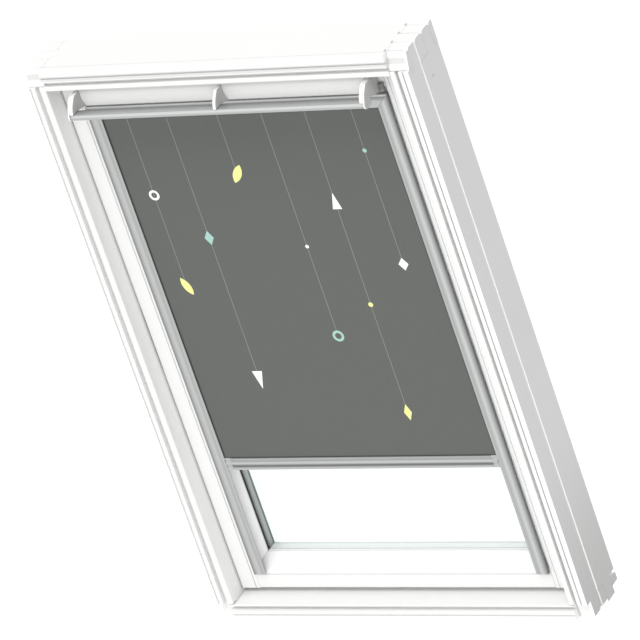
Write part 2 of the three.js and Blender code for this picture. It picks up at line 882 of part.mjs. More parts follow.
// The same for an end arm, which runs on behind the flap's end to the hinge.
function endArmOutline() {
  const points = [...armFront(), new THREE.Vector2(barBack, barHigh + seatGap)];
  points.push(...flapFace().slice(-3));
  for (let k = 0; k <= hingeSteps; k += 1) {
    const angle = (Math.PI / 2) * (k / hingeSteps - 1);
    const round = new THREE.Vector2(Math.cos(angle), Math.sin(angle)).multiplyScalar(hingeRound);
    points.push(round.add(new THREE.Vector2(hingeDepth, hingeUp)));
  }
  points.push(new THREE.Vector2(hingeDepth + hingeRound, armTop));
  return points.map((p) => [p.x, p.y]);
}

// Outline of the plate on an end arm: the arm's edge, run down round the end of the bar.
function endPlateOutline() {
  const front = barFront - endPlateLip;
  const low = barLow - endPlateLip;
  const back = barBack + endPlateLip;
  const [nose, step, ...rest] = armOutline().slice(curveSteps);
  return [
    ...armOutline().slice(0, curveSteps),
    [front, nose[1]],
    [front, low, endPlateRound],
    [back, low, endPlateRound],
    [back, step[1]],
    ...rest,
  ];
}

function buildFlap() {
  const bore = rodX(hingePinRadius + hingePinClearance, 0, frameWidth, hingeDepth, hingeUp);
  const endArm = prismX(endArmOutline(), endArmInner, endArmOuter);
  addPair("control_arm", endArm.subtract(bore), "whitePlastic");
  addPart(
    "control_arm_middle",
    prismX(armOutline(), -middleArmWidth / 2, middleArmWidth / 2),
    "whitePlastic",
  );

  const face = flapFace();
  const foot = face[face.length - 1];
  const back = hingeDepth + hingeRound;
  const ceiling = flapTop - flapWall;
  const floor = foot.y + flapWall;
  const inner = face.map((p) => [p.x + flapWall, THREE.MathUtils.clamp(p.y, floor, ceiling)]);
  const shell = prismX(
    [
      ...face.map((p) => [p.x, p.y]),
      [hingeDepth, foot.y],
      [hingeDepth, floor],
      ...inner.reverse(),
      [back, ceiling],
      [back, flapTop],
    ],
    -endArmInner + seatGap,
    endArmInner - seatGap,
  );
  addPart("flap_shell", shell, "whitePlastic");

  const barHollow = prismX(barSection(-barWall), -frameWidth, frameWidth);
  const bar = prismX(barSection(0), -endArmOuter, endArmOuter).subtract(barHollow);
  addPart("control_bar", bar, "aluminium");
  const plateIn = endArmOuter + seatGap;
  const plug = prismX(barSection(-barWall - seatGap), endArmOuter - endPlugLength, flapHalfWidth);
  const plate = prismX(endPlateOutline(), plateIn, flapHalfWidth);
  addPair("control_bar_cap", plate.add(plug), "greyPlastic");

  const lug = block(
    plateIn,
    plateIn + hingeLugWidth,
    hingeDepth - hingeRound,
    sashSetback - seatGap,
    hingeUp - hingeRound,
    hingeUp - hingeRound + hingeLugHeight,
  );
  const pin = rodX(hingePinRadius, endArmInner + seatGap, plateIn + seatGap, hingeDepth, hingeUp);
  addPair("flap_hinge", lug.add(pin), "steel");
}

// Dust filter behind the flap: a shallow frame with pleats
function buildFilter() {
  const back = sashSetback - seatGap;
  const front = back - filterThickness;
  const low = hingeUp + hingeRound + filterFrameWidth;
  const high = low + filterHeight;
  const half = endArmInner - filterEndInset;
  const tray = block(-half, half, front, back, low, high);
  const mouthHalf = half - filterFrameWidth;
  const mouth = block(
    -mouthHalf, mouthHalf, front - cutOverrun, back - filterRecess, low + filterFrameWidth, high - filterFrameWidth,
  );
  const pitch = (2 * mouthHalf) / filterPleats;
  const zigzag = [];
  for (let k = 0; k <= filterPleats; k += 1) {
    zigzag.push([-mouthHalf + k * pitch, k % 2 ? front + filterRecess : back - filterRecess]);
  }
  const folded = prismZ(
    [[-mouthHalf, back - filterRecess / 2], ...zigzag, [mouthHalf, back - filterRecess / 2]].reverse(),
    low + filterFrameWidth - filterRecess / 2,
    high - filterFrameWidth + filterRecess / 2,
  );
  addPart("vent_filter", tray.subtract(mouth).add(folded), "filter");
}

// Blackout blind

// Side rail section, as (x, depth): a channel open towards the glass.
function railSection() {
  const face = railFaceShares.map(([across, deep]) => [
    railInner + across * blindRailWidth,
    blindFront + deep * ribRelief,
  ]);
  return [
    ...face,
    [blindHalfWidth, railBack],
    [railInner + railLip, railBack],
    [railInner + railLip, railBack - railWall],
    [blindHalfWidth - railWall, railBack - railWall],
    [blindHalfWidth - railWall, slotFront],
    [railInner, slotFront],
  ];
}

// Roller casing section, as (depth, height): open below for the fabric.
function casingSection() {
  const face = casingFaceShares.map(([up, deep]) => [
    blindFront + deep * ribRelief,
    casingBottom + up * blindCasingHeight,
  ]);
  const inside = blindFront + casingFrontWall;
  const top = blindTop - casingWall;
  const slope = casingBackChamfer;
  return [
    ...face,
    [casingBack - slope, blindTop],
    [casingBack, blindTop - slope],
    [casingBack, casingBottom],
    [casingBack - casingWall, casingBottom],
    [casingBack - casingWall, top - slope + casingWall / 2],
    [casingBack - slope - casingWall / 2, top],
    [inside, top],
    [inside, casingBottom],
  ];
}

// Bottom bar section, as (depth, height).
function bottomBarSection() {
  const face = bottomBarFaceShares.map(([down, deep]) => [
    blindFront + deep * ribRelief,
    barTop - down * bottomBarHeight,
  ]);
  return [...face, [railBack, barTop - bottomBarHeight, ribRelief], [railBack, barTop, ribRelief]];
}

function buildBlind() {
  // The side rails and the casing meet in a mitre at each upper corner.
  const far = blindHalfWidth + cutOverrun;
  const mitre = (gap) => [
    [railInner - cutOverrun, casingBottom - cutOverrun * mitreSlope + gap],
    [far, blindTop + cutOverrun * mitreSlope + gap],
  ];
  const aboveMitre = prismY(
    [...mitre(-seatGap), [railInner - cutOverrun, blindTop + cutOverrun]],
    blindFront - cutOverrun,
    casingBack + cutOverrun,
  );
  const belowMitre = prismY(
    [...mitre(seatGap), [far, casingBottom - cutOverrun]],
    blindFront - cutOverrun,
    railBack + seatGap,
  );
  const rail = prismZ(railSection(), blindBottom, blindTop).subtract(aboveMitre);
  addPair("blind_side_rail", rail, "aluminium");

  const boxEnd = webInner - seatGap;
  const behindRail = block(
    boxEnd, far, railBack, casingBack + cutOverrun, casingBottom - cutOverrun, blindTop + cutOverrun,
  );
  const casing = prismX(casingSection(), -blindHalfWidth, blindHalfWidth);
  addPart("blind_casing", casing.subtract(bothSides(belowMitre.add(behindRail))), "aluminium");

  const webTo = webInner + cornerWebThickness;
  const slope = casingBackChamfer;
  const inside = casingBottom + blindCasingHeight - casingWall - seatGap;
  const web = prismX(
    [
      [railBack + 2 * seatGap, casingBottom],
      [railBack + 2 * seatGap, blindTop],
      [casingBack - slope, blindTop],
      [casingBack, blindTop - slope],
      [casingBack, casingBottom],
    ],
    webInner,
    webTo,
  );
  const plugFront = slotFront + seatGap;
  const plugBack = railBack - railWall - seatGap;
  const plug = prismX(
    [
      [plugFront, casingBottom - cornerEarDrop],
      [plugFront, inside],
      [casingBack - slope - casingWall - seatGap, inside],
      [railBack + 3 * seatGap, inside - slope],
      [railBack + 3 * seatGap, rollerHeight - rollerPinRadius],
      [plugBack, rollerHeight - rollerPinRadius],
      [plugBack, casingBottom - cornerEarDrop],
    ],
    webInner,
    webTo,
  );
  const ear = block(
    webInner,
    blindHalfWidth - railWall - seatGap,
    plugFront,
    plugBack,
    casingBottom - cornerEarDrop,
    casingBottom,
  );
  const pin = rodX(rollerPinRadius, webInner - rollerPinLength, webTo, rollerDepth, rollerHeight);
  addPair("blind_corner", joined([web, plug, ear, pin]), "greyPlastic");

  const tubeHalf = fabricHalf;
  const bore = rollerRadius - rollerWall;
  const tube = rodX(rollerRadius, -tubeHalf, tubeHalf, rollerDepth, rollerHeight).subtract(
    rodX(bore, -tubeHalf - cutOverrun, tubeHalf + cutOverrun, rollerDepth, rollerHeight),
  );
  addPart("roller_tube", tube, "steel");
  const endPlug = rodX(bore - seatGap, tubeHalf - rollerPlugLength, tubeHalf, rollerDepth, rollerHeight).subtract(
    rodX(
      rollerPinRadius + seatGap,
      tubeHalf - rollerPinLength - rollerEndGap,
      tubeHalf + cutOverrun,
      rollerDepth,
      rollerHeight,
    ),
  );
  addPair("roller_plug", endPlug, "greyPlastic");
  const roll = rodX(rollRadius, -fabricHalf, fabricHalf, rollerDepth, rollerHeight).subtract(
    rodX(rollerRadius + seatGap, -fabricHalf - cutOverrun, fabricHalf + cutOverrun, rollerDepth, rollerHeight),
  );
  addPart("fabric_roll", roll, "fabric");

  const sheet = block(
    -fabricHalf, fabricHalf, fabricDepth, fabricDepth + fabricThickness, barTop + seatGap, rollerHeight,
  );
  addPart("blind_fabric", sheet, "fabric");

  const barHalf = railInner - sliderCapWidth;
  addPart("bottom_bar", prismX(bottomBarSection(), -barHalf, barHalf), "aluminium");

  const capFrom = barHalf + seatGap;
  const capTo = railInner - seatGap;
  const cap = prismX(bottomBarSection(), capFrom, capTo);
  const tongueFront = plugFront;
  const tongueMiddle = barTop - bottomBarHeight / 2;
  const tongue = block(
    capTo - sliderTongue / 4,
    railInner + sliderTongue,
    tongueFront,
    plugBack,
    tongueMiddle - sliderTongueHeight / 2,
    tongueMiddle + sliderTongueHeight / 2,
  );
  addPair("bar_slider", cap.add(tongue), "greyPlastic");

  const stopTop = blindBottom + railEndHeight;
  const stop = block(
    railInner + railLip,
    blindHalfWidth - railWall - seatGap,
    tongueFront,
    plugBack,
    blindBottom,
    stopTop,
  );
  addPair("rail_end_stop", stop, "greyPlastic");
}

buildFrame();
buildSash();
buildGlazing();
buildPivots();
buildSeals();
buildLock();
buildFlap();
buildFilter();
buildBlind();

export default roofWindow;
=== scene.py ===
import json
import math

import bmesh
import bpy
from mathutils import Matrix, Vector


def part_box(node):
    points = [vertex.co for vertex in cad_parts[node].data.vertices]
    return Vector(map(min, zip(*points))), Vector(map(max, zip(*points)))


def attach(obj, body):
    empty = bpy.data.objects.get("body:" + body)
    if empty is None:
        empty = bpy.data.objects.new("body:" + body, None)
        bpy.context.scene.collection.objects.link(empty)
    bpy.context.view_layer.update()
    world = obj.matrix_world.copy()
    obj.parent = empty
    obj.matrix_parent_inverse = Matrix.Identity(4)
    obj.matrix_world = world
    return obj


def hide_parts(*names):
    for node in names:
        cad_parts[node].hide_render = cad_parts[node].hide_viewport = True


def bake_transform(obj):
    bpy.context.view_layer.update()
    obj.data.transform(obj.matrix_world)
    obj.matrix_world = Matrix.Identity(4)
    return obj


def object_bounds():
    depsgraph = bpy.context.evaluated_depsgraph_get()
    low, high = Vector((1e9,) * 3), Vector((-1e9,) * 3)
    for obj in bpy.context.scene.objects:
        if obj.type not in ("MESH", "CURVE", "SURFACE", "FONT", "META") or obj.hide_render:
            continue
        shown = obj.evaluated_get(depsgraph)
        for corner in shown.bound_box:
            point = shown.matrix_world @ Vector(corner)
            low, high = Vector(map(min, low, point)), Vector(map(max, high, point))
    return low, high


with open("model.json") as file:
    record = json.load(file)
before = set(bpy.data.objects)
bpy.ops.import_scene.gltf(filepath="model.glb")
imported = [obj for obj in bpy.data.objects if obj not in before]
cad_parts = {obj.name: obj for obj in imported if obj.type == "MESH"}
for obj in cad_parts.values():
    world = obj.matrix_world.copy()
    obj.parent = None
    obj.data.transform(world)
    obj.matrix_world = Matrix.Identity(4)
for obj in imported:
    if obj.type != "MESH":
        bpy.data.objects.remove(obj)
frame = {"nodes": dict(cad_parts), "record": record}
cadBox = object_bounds()
nodes = frame["nodes"]
print("window loaded with", len(nodes), "solids")

# Where the photograph was taken from, in metres: right, up and back are the camera's own axes
photoView = {
    "place": (6.18086, -8.74822, 6.16463),
    "right": (0.858759, 0.419835, -0.293722),
    "up": (0.019690, 0.545785, 0.837694),
    "back": (0.512002, -0.725160, 0.460431),
    "lens": 382.2,
    "sensor": 36.0,
}

studio = {
    "floorHeight": -0.95,
    "floorSize": 60.0,
    "floorGrey": 0.97,
    "skyGrey": 1.0,
    "skyStrength": 0.85,
    "keyTowards": (0.06, -0.42, 0.90),  # from the window to the light
    "keyStrength": 1.42,
    "keySpread": 38,  # degrees, a wide soft light
    "fillPlace": (2.9, -6.2, 2.4),
    "fillAim": (0.0, 0.0, 0.6),
    "fillSize": 3.0,
    "fillPower": 70.0,
}


# A socket of a node tree; sums written with it add their Math nodes
class Value:
    def __init__(self, bench, socket):
        self.bench = bench
        self.socket = socket

    def math(self, operation, *terms):
        return self.bench.add("ShaderNodeMath", {"operation": operation}, dict(enumerate(terms)))

    def __add__(self, other):
        return self.math("ADD", self, other)

    def __radd__(self, other):
        return self.math("ADD", other, self)

    def __sub__(self, other):
        return self.math("SUBTRACT", self, other)

    def __rsub__(self, other):
        return self.math("SUBTRACT", other, self)

    def __mul__(self, other):
        return self.math("MULTIPLY", self, other)

    def __truediv__(self, other):
        return self.math("DIVIDE", self, other)

    def __pow__(self, other):
        return self.math("POWER", self, other)

    def __mod__(self, other):
        return self.math("FLOORED_MODULO", self, other)

    def __abs__(self):
        return self.math("ABSOLUTE", self)

    def sine(self):
        return self.math("SINE", self)

    def root(self):
        return self.math("SQRT", self)

    def below(self, edge):
        return self.math("LESS_THAN", self, edge)

    def above(self, edge):
        return self.math("GREATER_THAN", self, edge)

    def atLeast(self, other):
        return self.math("MAXIMUM", self, other)

    def between(self, low, high):
        spread = {"Value": self, "From Min": low, "From Max": high}
        return self.bench.add("ShaderNodeMapRange", {"interpolation_type": "SMOOTHSTEP"}, spread)

    def output(self, name):
        return Value(self.bench, self.socket.node.outputs[name])


# A node tree being filled in, for a material or for geometry
class Bench:
    def __init__(self, tree):
        self.tree = tree

    def add(self, kind, settings=None, inputs=None, output=0):
        node = self.tree.nodes.new(kind)
        for key, value in (settings or {}).items():
            setattr(node, key, value)
        for key, value in (inputs or {}).items():
            if isinstance(value, Value):
                self.tree.links.new(value.socket, node.inputs[key])
            else:
                node.inputs[key].default_value = value
        return Value(self, node.outputs[output]) if node.outputs else None

    # colours and vectors
    def mix(self, share, first, second):
        return self.add("ShaderNodeMix", {"data_type": "RGBA"}, {0: share, 6: first, 7: second}, 2)

    def vector(self, operation, first, second, output=0):
        terms = {0: first, 1: second}
        return self.add("ShaderNodeVectorMath", {"operation": operation}, terms, output)

    def place(self):
        return self.add("ShaderNodeTexCoord", output="Object")

    # the object's own normal, as its x, y and z
    def facing(self):
        return self.axes(self.add("ShaderNodeTexCoord", output="Normal"))

    def axes(self, vector):
        apart = self.add("ShaderNodeSeparateXYZ", inputs={0: vector})
        return apart, apart.output("Y"), apart.output("Z")

    def noise(self, vector, scale, detail=2.0, roughness=0.5):
        sizes = {"Vector": vector, "Scale": scale, "Detail": detail, "Roughness": roughness}
        return self.add("ShaderNodeTexNoise", inputs=sizes)

    # normals rounded at the edges, and how close to an edge a point is
    def softEdges(self, radius, samples=4):
        rounded = self.add("ShaderNodeBevel", {"samples": samples}, {"Radius": radius})
        flat = self.add("ShaderNodeNewGeometry", output="Normal")
        alike = self.vector("DOT_PRODUCT", rounded, flat, "Value")
        return rounded, (1 - alike).between(0.02, 0.25)

    # how far a point is hemmed in by what stands within the distance
    def crevice(self, distance, samples=6):
        openness = self.add("ShaderNodeAmbientOcclusion", {"samples": samples},
                            {"Distance": distance}, 1)
        return (1 - openness).between(0.06, 0.62)

    # painted shade and highlight lines along an axis; stops are (millimetres, kind of line), and
    # across the window the distance is from its middle
    def toned(self, colour, place, tones):
        for axis, stops in tones:
            along = self.axes(place)["XYZ".index(axis)]
            if axis == "X":
                along = abs(along)
            low, high = stops[0][0], stops[-1][0]
            ramp = self.add("ShaderNodeValToRGB", inputs={0: (along * 1000 - low) / (high - low)})
            points = ramp.socket.node.color_ramp.elements  # one at 0 and one at 1 to begin with
            for at, _ in stops[1:-1]:
                points.new((at - low) / (high - low))
            for point, (_, line) in zip(points, stops):
                point.color = grey(paintedLightLines[line] / 2)
            colour = self.vector("MULTIPLY", colour, self.vector("ADD", ramp, ramp))
        return colour

    def bump(self, height, distance, normal=None, strength=1.0):
        inputs = {"Height": height, "Distance": distance, "Strength": strength}
        if normal:
            inputs["Normal"] = normal
        return self.add("ShaderNodeBump", inputs=inputs)


def newMaterial(name):
    material = bpy.data.materials.new(name)
    material.use_nodes = True
    material.node_tree.nodes.clear()
    return material, Bench(material.node_tree)


# Closes a material: what varies is linked, and fixed values go on the shader's own sockets
def surface(bench, varying, fixed=None):
    shader = bench.add("ShaderNodeBsdfPrincipled", inputs={**(fixed or {}), **varying})
    bench.add("ShaderNodeOutputMaterial", inputs={"Surface": shader})


def grey(level, tint=(0, 0, 0)):
    return tuple(level + part for part in tint) + (1.0,)


def scaled(colour, share):
    return tuple(part * share for part in colour[:3]) + (1.0,)


def fromScreen(red, green, blue):
    linear = [part / 255 / 12.92 if part < 11 else ((part / 255 + 0.055) / 1.055) ** 2.4
              for part in (red, green, blue)]
    return (*linear, 1.0)


# painted shade and highlight lines: how bright each kind is, as a share of the surface's own
# colour; soft is a light painted shade
paintedLightLines = {"deepShade": 0.45, "soft": 0.8, "plain": 1.0, "highlight": 1.2}

paintFinish = {
    "body": (0.79, 0.79, 0.782, 1.0),
    "worn": (0.84, 0.84, 0.833, 1.0),
    "grainTint": (0.76, 0.758, 0.745, 1.0),
    # greys of the outer sides; the second one towards the foot
    "outerGrey": (0.515, 0.515, 0.515, 1.0),
    "outerGreyLow": (0.345, 0.345, 0.34, 1.0),
    # painted highlight in and along the collar groove
    "grooveHighlight": (0.95, 0.95, 0.945, 1.0),
    # painted shade in crevices: its colour and how far it reaches
    "creviceShade": (0.30, 0.30, 0.29, 1.0),
    "shadeReach": 0.006,
    "skin": 0.0004,  # how near to the frame's outer sides a surface counts as outside
    "grooveDepth": 0.005,
    "grooveLine": (-0.016, -0.0135, -0.0105),  # the collar groove's painted pale line: where it fades in and ends
    # the heights over which the outer sides grow darker towards the foot
    "footFade": (-0.1, 0.42),
    # the top band, where the painted crevice shade is stronger, and how strong
    "topBand": 0.0015,
    "topShade": 0.9,
    "edgeRadius": 0.0009,
    "grainDepth": 0.00004,
    "peelDepth": 0.00001,
    "roughness": 0.36,
}


# Timber under a thick white coating; along is the axis that the grain runs on
def coatedTimber(name, along, tones=(), creviceShadeShare=0.25):
    material, bench = newMaterial(name)
    place = bench.place()
    stretch = tuple(3.0 if axis == along else 95.0 for axis in range(3))
    grain = bench.noise(bench.vector("MULTIPLY", place, stretch), 1.0, 5.0, 0.62)
    cloudy = bench.noise(place, 4.5, 3.0)
    peel = bench.noise(place, 1400.0, 1.0)
    rounded, nearEdge = bench.softEdges(paintFinish["edgeRadius"])
    lines = grain.between(0.52, 0.72)
    colour = bench.mix(lines * 0.22 + cloudy.between(0.35, 0.75) * 0.2,
                       paintFinish["body"], paintFinish["grainTint"])
    colour = bench.mix(nearEdge * 0.6, colour, paintFinish["worn"])
    # painted shade and highlight lines, where the piece has them
    colour = bench.toned(colour, place, tones)
    # the sides that the roof hides are grey, darker towards the foot
    across, deep, height = bench.axes(place)
    outward, outerFace = abs(across), cadBox[1].x
    outside = outward.above(outerFace - paintFinish["skin"])
    dusty = 1 - height.between(*paintFinish["footFade"])
    outerGrey = bench.mix(dusty * 0.85 + cloudy * 0.15,
                       paintFinish["outerGrey"], paintFinish["outerGreyLow"])
    # painted highlight: a pale line along the collar groove's place on the outer sides
    fadesIn, clear, ends = paintFinish["grooveLine"]
    outerGrey = bench.mix(deep.between(fadesIn, clear) * deep.below(ends) * 0.6,
                       outerGrey, paintFinish["grooveHighlight"])
    colour = bench.mix(outside, colour, outerGrey)
    # painted highlight: the collar groove's walls and floor are made pale
    inGroove = (outward.above(outerFace - paintFinish["grooveDepth"])
                * outward.below(outerFace - paintFinish["skin"]))
    colour = bench.mix(inGroove, colour, paintFinish["grooveHighlight"])
    # painted shade in crevices: near full on the top band, elsewhere by the given share
    onTop = height.above(cadBox[1].z - paintFinish["topBand"])
    creviceShade = onTop * (paintFinish["topShade"] - creviceShadeShare) + creviceShadeShare
    shadedCrevice = bench.crevice(paintFinish["shadeReach"]) * (1 - outside) * (1 - inGroove)
    colour = bench.mix(shadedCrevice * creviceShade, colour, paintFinish["creviceShade"])
    rough = paintFinish["roughness"] + cloudy * 0.14 + peel * 0.05 - nearEdge * 0.08
    normal = bench.bump(grain, paintFinish["grainDepth"], rounded)
    normal = bench.bump(peel, paintFinish["peelDepth"], normal)
    surface(bench, {"Base Color": colour, "Roughness": rough, "Normal": normal},
            {"Coat Weight": 0.15, "Coat Roughness": 0.3})
    return material


plasticFinish = {
    "white": (0.80, 0.80, 0.79, 1.0),
    "grey": (0.40, 0.41, 0.405, 1.0),
    "whiteRubbed": (0.85, 0.85, 0.84, 1.0),
    "greyRubbed": (0.52, 0.53, 0.525, 1.0),
    "edgeRadius": 0.0007,
    "grainDepth": 0.000018,
}


# Moulded plastic with a fine spark grain, rubbed brighter at its edges
def mouldedPlastic(name, shade, tones=(), flankShadeShare=1.0):
    material, bench = newMaterial(name)
    place = bench.place()
    grain = bench.noise(place, 2400.0, 2.0, 0.6)
    flow = bench.noise(bench.vector("MULTIPLY", place, (3.0, 11.0, 9.0)), 1.0, 3.0)
    rounded, nearEdge = bench.softEdges(plasticFinish["edgeRadius"])
    body, rubbed = plasticFinish[shade], plasticFinish[shade + "Rubbed"]
    colour = bench.mix(flow.between(0.3, 0.8) * 0.5, body, scaled(body, 0.94))
    colour = bench.mix(nearEdge * 0.7, colour, rubbed)
    # painted shade and highlight lines, where the piece has them
    colour = bench.toned(colour, place, tones)
    if flankShadeShare < 1:  # painted shade: flanks that face sideways are darker, as the photograph has them
        shadedFlank = abs(bench.facing()[0]).above(0.7)
        colour = bench.mix(shadedFlank, colour, scaled(body, flankShadeShare))
    rough = 0.34 + flow * 0.14 + grain * 0.08
    normal = bench.bump(grain, plasticFinish["grainDepth"], rounded)
    surface(bench, {"Base Color": colour, "Roughness": rough, "Normal": normal})
    return material


metalFinish = {
    "aluminium": (0.46, 0.47, 0.465, 1.0),
    "aluminiumEdge": (0.72, 0.73, 0.725, 1.0),
    "steel": (0.50, 0.51, 0.52, 1.0),
    "steelDull": (0.34, 0.345, 0.36, 1.0),
    # painted shade in crevices: its colour and how far it reaches
    "creviceShade": (0.16, 0.165, 0.165, 1.0),
    "shadeReach": 0.004,
    "edgeRadius": 0.0004,
    "streakDepth": 0.000012,
}


# Satin anodised extrusion with die lines along its length
def anodised(name, along, tones=(), metallic=0.75, creviceShadeShare=0.7, share=1.0):
    material, bench = newMaterial(name)
    place = bench.place()
    stretch = tuple(2.0 if axis == along else 1800.0 for axis in range(3))
    streaks = bench.noise(bench.vector("MULTIPLY", place, stretch), 1.0, 3.0, 0.7)
    haze = bench.noise(place, 14.0, 3.0)
    rounded, nearEdge = bench.softEdges(metalFinish["edgeRadius"])
    plain = scaled(metalFinish["aluminium"], share)
    colour = bench.mix(streaks.between(0.35, 0.7) * 0.55, plain, scaled(plain, 0.86))
    colour = bench.mix(nearEdge * 0.75, colour, metalFinish["aluminiumEdge"])
    # painted shade and highlight lines, where the piece has them
    colour = bench.toned(colour, place, tones)
    # painted shade in crevices, by the given share
    shadedCrevice = bench.crevice(metalFinish["shadeReach"])
    colour = bench.mix(shadedCrevice * creviceShadeShare, colour, metalFinish["creviceShade"])
    rough = 0.34 + haze * 0.12 + streaks * 0.1 - nearEdge * 0.08
    normal = bench.bump(streaks, metalFinish["streakDepth"], rounded)
    surface(bench, {"Base Color": colour, "Roughness": rough, "Normal": normal},
            {"Metallic": metallic})
    return material


# Zinc plated steel: pale flakes with a little dulling
def zincPlated(name, share=1.0, metallic=0.95):
    material, bench = newMaterial(name)
    place = bench.place()
    flakes = bench.add("ShaderNodeTexVoronoi", inputs={"Vector": place, "Scale": 420.0},
                       output="Color")
    tone = bench.axes(flakes)[0]
    smear = bench.noise(place, 38.0, 4.0)
    rounded, nearEdge = bench.softEdges(metalFinish["edgeRadius"])
    colour = bench.mix(smear.between(0.4, 0.75) * 0.8,
                       metalFinish["steel"], metalFinish["steelDull"])
    colour = bench.mix(nearEdge * 0.6, colour, metalFinish["aluminiumEdge"])
    colour = bench.vector("MULTIPLY", colour, (share, share, share))
    rough = 0.26 + tone * 0.1 + smear * 0.2
    normal = bench.bump(smear, 0.00003, rounded)
    surface(bench, {"Base Color": colour, "Roughness": rough, "Normal": normal},
            {"Metallic": metallic})
    return material


coverFinish = {
    "body": (0.135, 0.142, 0.15, 1.0),
    "dusty": (0.24, 0.243, 0.24, 1.0),
    "rubbed": (0.36, 0.37, 0.38, 1.0),
    # painted light on faces that look up
    "upFacingLight": (0.85, 0.86, 0.85, 1.0),
    "edgeRadius": 0.0007,
}


# Dark powder coat on the weather side, with dust and rubbed edges
def powderCoat(name, litLip=False):
    material, bench = newMaterial(name)
    place = bench.place()
    peel = bench.noise(place, 900.0, 2.0)
    dust = bench.noise(place, 7.0, 6.0, 0.65)
    rounded, nearEdge = bench.softEdges(coverFinish["edgeRadius"])
    colour = bench.mix(dust.between(0.45, 0.85) * 0.5, coverFinish["body"], coverFinish["dusty"])
    colour = bench.mix(nearEdge * 0.5, colour, coverFinish["rubbed"])
    if litLip:  # painted light: faces that look up are pale, as on the lip that lies behind the glass
        colour = bench.mix(bench.facing()[2].above(0.7), colour, coverFinish["upFacingLight"])
    rough = 0.36 + dust * 0.25
    normal = bench.bump(peel, 0.00003, rounded)
    surface(bench, {"Base Color": colour, "Roughness": rough, "Normal": normal},
            {"Coat Weight": 0.1})
    return material


rubberTones = {
    "black": (0.018, 0.05, 0.09),
    "pale": (0.7, 0.76, 0.82),
}


# Rubber with a chalky bloom, rubbed paler at the edges
def sealRubber(name, shade):
    body, chalk, rubbed = (grey(tone) for tone in rubberTones[shade])
    material, bench = newMaterial(name)
    place = bench.place()
    bloom = bench.noise(place, 60.0, 5.0, 0.6)
    grain = bench.noise(place, 3000.0, 1.0)
    rounded, nearEdge = bench.softEdges(0.0004)
    colour = bench.mix(bloom.between(0.4, 0.8) * 0.6, body, chalk)
    colour = bench.mix(nearEdge * 0.4, colour, rubbed)
    normal = bench.bump(grain, 0.00002, rounded)
    surface(bench, {"Base Color": colour, "Roughness": 0.55 + bloom * 0.3, "Normal": normal},
            {"Sheen Weight": 0.1})
    return material


glassFinish = {"tint": (0.975, 0.987, 0.986, 1.0), "roughness": 0.015}


# Clear float glass: it lets light straight through and mirrors more at a flat angle
def floatGlass(name):
    material, bench = newMaterial(name)
    place = bench.place()
    film = bench.noise(place, 9.0, 4.0, 0.6)
    through = bench.add("ShaderNodeBsdfTransparent", inputs={"Color": glassFinish["tint"]})
    mirror = bench.add("ShaderNodeBsdfPrincipled", inputs={
        "Base Color": (0.95, 0.97, 0.97, 1.0),
        "Metallic": 1.0,
        "Roughness": glassFinish["roughness"] + film * 0.03,
    })
    slant = bench.add("ShaderNodeLayerWeight", inputs={"Blend": 0.5}, output="Facing")
    share = (slant ** 5.0) * 0.93 + 0.035
    body = bench.add("ShaderNodeMixShader", inputs={0: share + film * 0.006, 1: through, 2: mirror})
    bench.add("ShaderNodeOutputMaterial", inputs={"Surface": body})
    return material


# Pressed filter felt
def filterFelt(name):
    material, bench = newMaterial(name)
    place = bench.place()
    fibres = bench.noise(bench.vector("MULTIPLY", place, (1500.0, 1500.0, 420.0)), 1.0, 4.0, 0.75)
    dust = bench.noise(place, 26.0, 4.0)
    colour = bench.mix(fibres.between(0.3, 0.75), grey(0.30), grey(0.20, (0.0, 0.004, 0.008)))
    colour = bench.mix(dust.between(0.5, 0.85) * 0.4, colour, grey(0.11))
    surface(bench, {"Base Color": colour, "Roughness": 0.86 + fibres * 0.12,
                    "Normal": bench.bump(fibres, 0.0002)}, {"Sheen Weight": 0.3})
    return material



def longestAxis(name):
    low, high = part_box(name)
    return max(range(3), key=lambda axis: high[axis] - low[axis])


finishes = {
    "white_timber": [coatedTimber("whiteTimber" + axis, i) for i, axis in enumerate("XYZ")],
    "white_plastic": [mouldedPlastic("whitePlastic", "white")] * 3,
    "grey_plastic": [mouldedPlastic("greyPlastic", "grey")] * 3,
    "aluminium": [anodised("satinAluminium" + axis, i) for i, axis in enumerate("XYZ")],
    "coated_aluminium": [powderCoat("powderCoat")] * 3,
    "steel": [zincPlated("zincPlatedSteel")] * 3,
    "rubber": [sealRubber("gasketRubber", "black")] * 3,
    "glass": [floatGlass("floatGlass")] * 3,
    "filter_felt": [filterFelt("filterFelt")] * 3,
}

paleRubber = sealRubber("paleRubber", "pale")
# painted shade on the arms' flanks
shadedArmPlastic = mouldedPlastic("shadedArmPlastic", "white", flankShadeShare=0.52)
# painted shade: the hinge lugs are darkened and dulled
shadedLugSteel = zincPlated("shadedLugSteel", 0.45, 0.3)
# painted shade and highlight bands across the blind's side channels
channelShadeLines = [("X", [
    (283, "soft"), (285.5, "plain"), (289, "soft"), (297, "highlight"), (303, "soft"), (308, "deepShade"),
])]
# painted shade inside the glass unit: a dark band across the side spacers, fading out
spacerShadeLines = [("Y", [(20, "deepShade"), (24, "soft"), (32, "plain")])]

